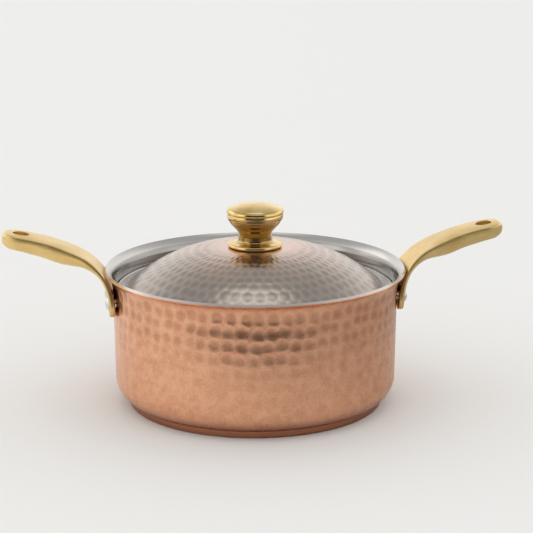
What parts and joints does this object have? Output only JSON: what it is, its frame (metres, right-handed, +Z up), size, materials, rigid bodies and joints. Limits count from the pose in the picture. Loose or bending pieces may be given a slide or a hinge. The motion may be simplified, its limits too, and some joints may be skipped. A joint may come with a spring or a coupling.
{
  "type": "two-handled saucepan with lid",
  "caption": "Round hammered copper saucepan with a steel lining, flared lip, riveted brass handles and a domed metal lid with a turned brass knob.",
  "frame": {"origin": "centre of the base, on the table it stands on", "axes": "+Z up, the way the lid lifts; the two handles point along -X and +X"},
  "size_m": [0.3586, 0.2156, 0.1447],
  "materials": {
    "cooking_steel": "satin brushed stainless steel",
    "core_aluminium": "plain, hidden between the other layers",
    "hammered_copper": null,
    "base_copper": null,
    "handle_brass": "satin cast brass with a fine lengthwise grain",
    "knob_brass": "polished turned brass",
    "rivet_steel": "polished stainless steel",
    "lid_steel": "polished stainless steel",
    "lid_hammered_skin": null,
    "gasket_silicone": "matt black silicone",
    "fastener_steel": "plain stainless steel"
  },
  "bodies": {
    "pan": {"steel_liner": "cooking_steel", "aluminium_core": "core_aluminium", "copper_jacket": "hammered_copper", "heat_disc": "core_aluminium", "base_cap": "base_copper", "left_handle": "handle_brass", "right_handle": "handle_brass", "left_rivet_front": "rivet_steel", "left_rivet_back": "rivet_steel", "right_rivet_front": "rivet_steel", "right_rivet_back": "rivet_steel"},
    "lid": {"lid_liner": "lid_steel", "lid_skin": "lid_hammered_skin", "knob": "knob_brass", "knob_gasket": "gasket_silicone", "lid_washer": "fastener_steel", "lock_washer": "fastener_steel", "knob_screw": "fastener_steel"}
  },
  "joints": [
    {"name": "lid_lift", "type": "slide", "parent": "pan", "child": "lid", "axis": [0, 0, 1], "range_m": [0, 0.08]}
  ]
}
